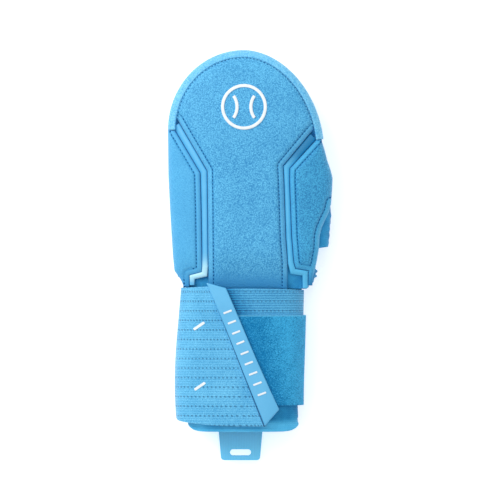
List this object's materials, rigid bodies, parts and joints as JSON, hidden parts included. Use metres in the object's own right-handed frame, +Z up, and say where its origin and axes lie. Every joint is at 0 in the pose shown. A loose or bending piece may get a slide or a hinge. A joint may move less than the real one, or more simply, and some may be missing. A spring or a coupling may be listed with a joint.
{
  "type": "sliding mitt",
  "caption": "Padded hand guard for sliding into base: hard-padded plates front and back, soft hollow body with a thumb bulge, and a wide wound wrist strap with a diagonal tab and pull loop.",
  "frame": {"origin": "on the flat palm face, under the middle of the hand", "axes": "+Y to the finger tip, +X to the thumb side, +Z up from the palm face to the back of the hand"},
  "size_m": [0.1315, 0.3288, 0.0531],
  "materials": {
    "pad_fabric": "fine pebbled light blue fabric over foam",
    "stretch_fabric": "matt light blue stretch fabric",
    "elastic": "ribbed, perforated light blue elastic",
    "fleece": "brushed blue fleece for a hook fastener",
    "moulded_blue": "satin light blue moulded rubber",
    "moulded_pale": "glossy pale blue moulded rubber",
    "moulded_white": "satin white raised print"
  },
  "bodies": {
    "root": {"mitt_bag": "stretch_fabric", "centre_plate": "pad_fabric", "dome_rim": "pad_fabric", "little_finger_wing": "pad_fabric", "thumb_wing": "pad_fabric", "little_finger_trim": "moulded_pale", "thumb_trim": "moulded_blue", "palm_plate": "pad_fabric", "wrist_sleeve": "stretch_fabric", "wrist_strap": "elastic", "loop_panel": "fleece", "strap_tab": "moulded_blue", "pull_loop": "moulded_blue", "ball_ring": "moulded_white", "ball_seam_left": "moulded_white", "ball_seam_right": "moulded_white"}
  },
  "joints": []
}
